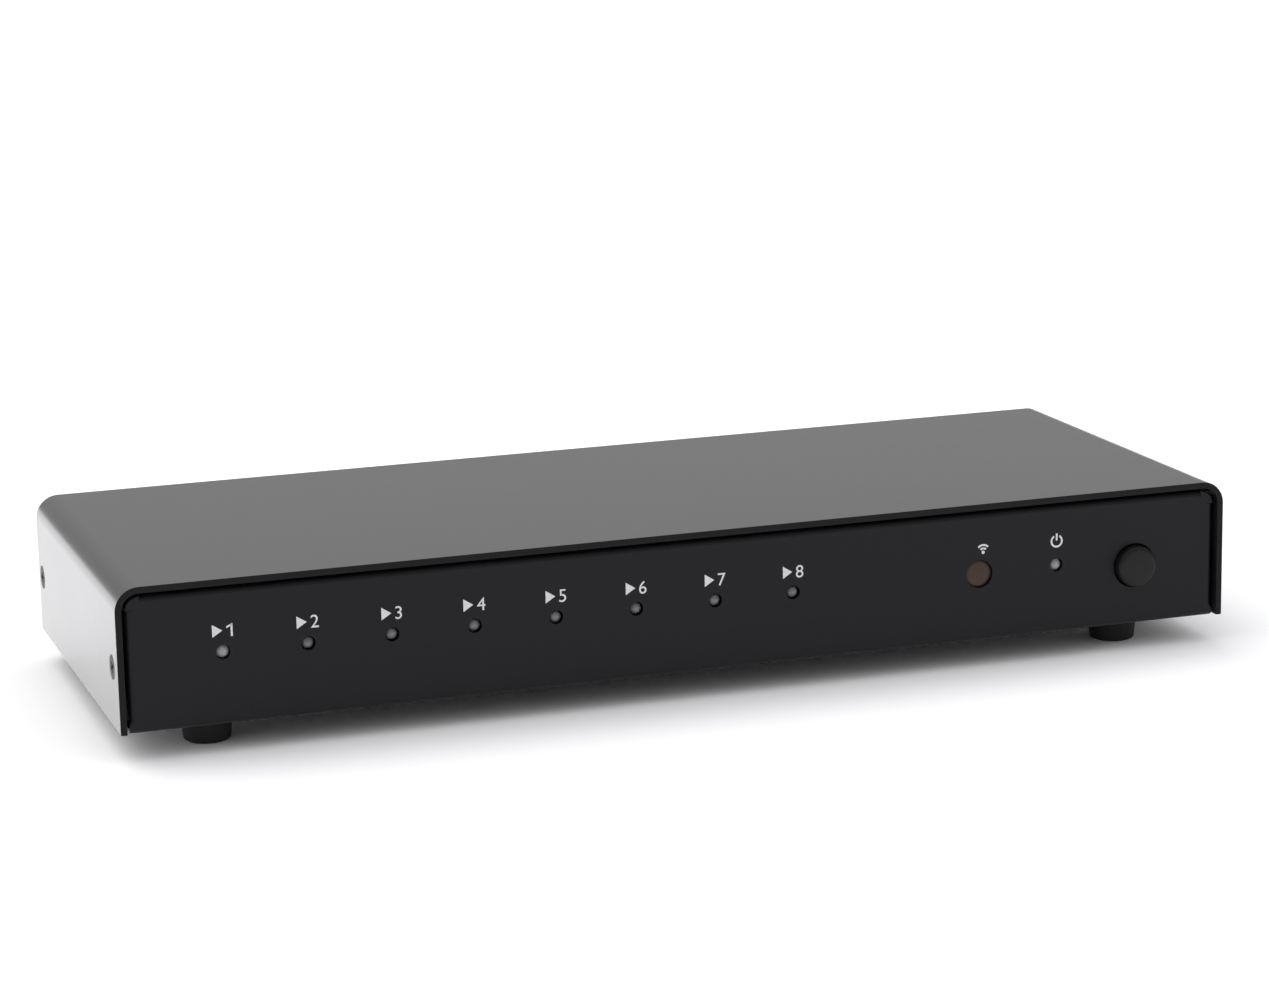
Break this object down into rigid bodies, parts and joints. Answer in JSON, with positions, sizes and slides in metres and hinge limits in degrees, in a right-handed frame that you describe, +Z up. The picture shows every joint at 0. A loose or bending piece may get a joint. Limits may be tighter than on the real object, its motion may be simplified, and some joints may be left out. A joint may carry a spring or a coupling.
{
  "type": "hdmi switch box",
  "caption": "Flat black metal HDMI switch box on rubber feet, with a row of lamps, an infrared window and a push button in front and sockets behind.",
  "frame": {"origin": "on the table, below the middle of the case", "axes": "+Z up, +X to the right as seen from the front, +Y to the rear, so the front panel faces -Y"},
  "size_m": [0.268, 0.1005, 0.0398],
  "materials": {
    "cover_paint": "satin black baked paint, very fine grain",
    "chassis_paint": "satin black baked paint, very fine grain",
    "screw_black": "black oxide",
    "screw_zinc": "bright zinc",
    "foot_rubber": "matt black rubber",
    "standoff_brass": "plain",
    "board_mask": "green solder mask",
    "shell_steel": "nickel-plated sheet",
    "tongue_black": "moulded, matt",
    "contact_gold": "gold flash",
    "inlet_black": "moulded, matt",
    "pin_nickel": "nickel",
    "lamp_lens": "cloudy clear epoxy, unlit",
    "lead_tin": "tinned wire",
    "window_red": "dark brown-red infrared filter",
    "receiver_black": "dark epoxy",
    "button_black": "moulded, satin",
    "plunger_white": "moulded, natural",
    "spring_steel": "wire",
    "switch_black": "moulded, matt",
    "chip_black": "moulded epoxy",
    "can_metal": "drawn can",
    "inductor_grey": "pressed powder"
  },
  "bodies": {
    "case": {"top_cover": "cover_paint", "base_chassis": "chassis_paint", "cover_screws": "screw_black", "foot_screws": "screw_zinc", "foot_front_left": "foot_rubber", "foot_rear_left": "foot_rubber", "foot_front_right": "foot_rubber", "foot_rear_right": "foot_rubber", "board_standoffs": "standoff_brass", "main_board": "board_mask", "board_screws": "screw_zinc", "input_1_shell": "shell_steel", "input_2_shell": "shell_steel", "input_3_shell": "shell_steel", "input_4_shell": "shell_steel", "input_5_shell": "shell_steel", "input_6_shell": "shell_steel", "input_7_shell": "shell_steel", "input_8_shell": "shell_steel", "output_shell": "shell_steel", "input_1_tongue": "tongue_black", "input_2_tongue": "tongue_black", "input_3_tongue": "tongue_black", "input_4_tongue": "tongue_black", "input_5_tongue": "tongue_black", "input_6_tongue": "tongue_black", "input_7_tongue": "tongue_black", "input_8_tongue": "tongue_black", "output_tongue": "tongue_black", "socket_contacts": "contact_gold", "inlet_body": "inlet_black", "inlet_pin": "pin_nickel", "inlet_sleeve_contact": "pin_nickel", "input_lamp_1": "lamp_lens", "input_lamp_2": "lamp_lens", "input_lamp_3": "lamp_lens", "input_lamp_4": "lamp_lens", "input_lamp_5": "lamp_lens", "input_lamp_6": "lamp_lens", "input_lamp_7": "lamp_lens", "input_lamp_8": "lamp_lens", "power_lamp": "lamp_lens", "lamp_leads": "lead_tin", "infrared_window": "window_red", "infrared_receiver": "receiver_black", "receiver_leads": "lead_tin", "switch_spring": "spring_steel", "switch_housing": "switch_black", "switching_chips": "chip_black", "control_chip": "chip_black", "crystal_can": "can_metal", "voltage_regulator": "chip_black", "inductor": "inductor_grey", "capacitors": "can_metal"},
    "button": {"button_cap": "button_black", "switch_plunger": "plunger_white"}
  },
  "joints": [
    {"name": "button_press", "type": "slide", "parent": "case", "child": "button", "axis": [0, 1, 0], "range_m": [0, 0.0015], "stiffness_N_per_m": 600, "springref_m": -0.0015, "deforming": ["switch_spring"]}
  ]
}
